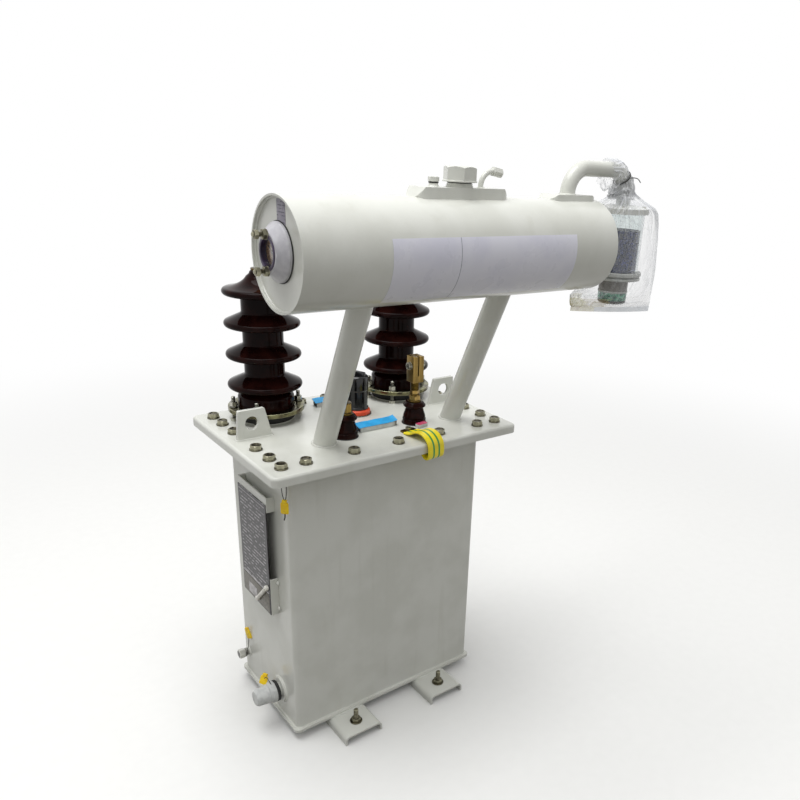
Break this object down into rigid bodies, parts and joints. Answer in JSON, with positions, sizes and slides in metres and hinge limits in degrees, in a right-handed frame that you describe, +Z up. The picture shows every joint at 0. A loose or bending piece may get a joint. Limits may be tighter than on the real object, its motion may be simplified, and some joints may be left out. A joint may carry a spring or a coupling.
{
  "type": "pole mounted distribution transformer",
  "caption": "Small oil-filled pole transformer: plain tank with bolted cover, porcelain bushings, overhung conservator on slanted pipes and a bagged breather.",
  "frame": {"origin": "middle of the whole part's footprint, at the height of the feet's lower edges", "axes": "+Z up, +X from the oil gauge end towards the breather end, -Y towards the side that the conservator overhangs"},
  "size_m": [0.888, 0.5444, 1.1425],
  "materials": {
    "paint": "satin light grey enamel",
    "gasket": "matt nitrile rubber",
    "zinc": "yellow zinc plate",
    "clamp": "cast and turned",
    "porcelain": "dark brown glaze",
    "brass": "machined, slightly dulled",
    "tap_base": "orange red moulding",
    "tap_head": "black moulding",
    "glass": "clear",
    "gel": "dark blue beads",
    "film": "clear creased film",
    "strap": "yellow with green stripes",
    "label": "blue label on grey holder",
    "nameplate": "dark etched, bare"
  },
  "bodies": {
    "root": {"foot_left": "paint", "foot_right": "paint", "bottom_plate": "paint", "tank_walls": "paint", "tank_flange": "paint", "cover_gasket": "gasket", "cover_plate": "paint", "cover_bolts": "zinc", "foot_studs": "zinc", "hv_turret_left": "paint", "hv_turret_right": "paint", "hv_clamp_left": "clamp", "hv_clamp_right": "clamp", "hv_porcelain_left": "porcelain", "hv_porcelain_right": "porcelain", "hv_terminal_left": "brass", "hv_terminal_right": "brass", "lv_porcelain_left": "porcelain", "lv_porcelain_right": "porcelain", "lv_terminal_left": "brass", "lv_terminal_right": "brass", "tap_changer_base": "tap_base", "tap_changer_head": "tap_head", "lifting_lug_left": "paint", "lifting_lug_right": "paint", "support_pipe_left": "paint", "support_pipe_right": "paint", "conservator_shell": "paint", "conservator_cap_left": "paint", "conservator_cap_right": "paint", "oil_gauge": "clamp", "gauge_glass": "glass", "filler_pad": "paint", "filler_neck": "paint", "filler_cap": "paint", "vent_plug": "paint", "vent_tube": "paint", "breather_pad": "paint", "breather_pipe": "paint", "breather_top": "paint", "breather_glass": "glass", "breather_gel": "gel", "breather_cup": "clamp", "breather_bag": "film", "earth_lug": "brass", "earth_strap": "strap", "label_holder_front": "label", "label_holder_back": "label", "nameplate_holder": "paint", "nameplate": "nameplate", "drain_stub": "paint", "drain_cap": "paint", "sampling_plug": "paint"}
  },
  "joints": []
}
